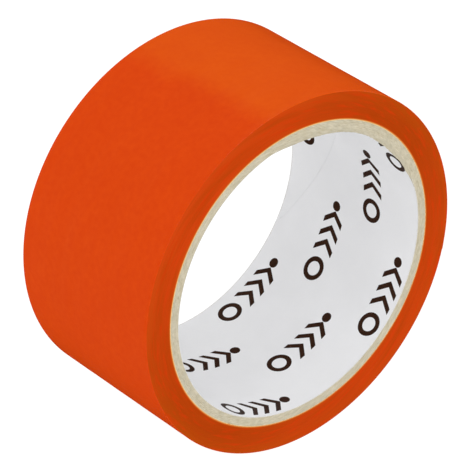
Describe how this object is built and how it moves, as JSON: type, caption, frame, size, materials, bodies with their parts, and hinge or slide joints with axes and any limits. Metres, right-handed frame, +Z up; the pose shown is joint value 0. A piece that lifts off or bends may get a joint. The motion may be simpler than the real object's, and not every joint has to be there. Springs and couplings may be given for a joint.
{
  "type": "roll of packing tape",
  "caption": "Roll of coloured plastic packing tape on a spiral-wound paper core with a printed liner; its free end peels off the roll.",
  "frame": {"origin": "centre of the core's bore, halfway along the roll", "axes": "+Y along the roll's axis; +Z up, with the roll standing on its rim; the film's free end is on the +X side"},
  "size_m": [0.096, 0.048, 0.096],
  "materials": {
    "film": "satin, orange film over adhesive, wound edge on",
    "film_end": "glossy orange film, one layer with its adhesive",
    "coreboard": "matt buff board, cut ends fibrous",
    "liner": "smooth white paper with a dark printed pattern"
  },
  "bodies": {
    "roll": {"liner_paper": "liner", "core_ply_1": "coreboard", "core_ply_2": "coreboard", "core_ply_3": "coreboard", "core_ply_4": "coreboard", "core_ply_5": "coreboard", "core_ply_6": "coreboard", "wound_tape": "film", "last_turn": "film"},
    "tail_root": {"tail_strip_1": "film_end"},
    "tail_second": {"tail_strip_2": "film_end"},
    "tail_third": {"tail_strip_3": "film_end"},
    "tail_tip": {"tail_strip_4": "film_end"}
  },
  "joints": [
    {"name": "tail_peel", "type": "hinge", "parent": "roll", "child": "tail_root", "pos_m": [0.04353, 0, 0.0203], "axis": [0, -1, 0], "range_deg": [0, 40]},
    {"name": "tail_bend_1", "type": "hinge", "parent": "tail_root", "child": "tail_second", "pos_m": [0.04629, 0, 0.0128], "axis": [0, -1, 0], "range_deg": [0, 10]},
    {"name": "tail_bend_2", "type": "hinge", "parent": "tail_second", "child": "tail_third", "pos_m": [0.04778, 0, 0.00494], "axis": [0, -1, 0], "range_deg": [0, 10]},
    {"name": "tail_bend_3", "type": "hinge", "parent": "tail_third", "child": "tail_tip", "pos_m": [0.04793, 0, -0.00305], "axis": [0, -1, 0], "range_deg": [0, 10]}
  ],
  "couplings": [
    {"joint": "tail_bend_1", "follows": "tail_peel", "ratio": 0.25},
    {"joint": "tail_bend_2", "follows": "tail_peel", "ratio": 0.25},
    {"joint": "tail_bend_3", "follows": "tail_peel", "ratio": 0.25}
  ]
}
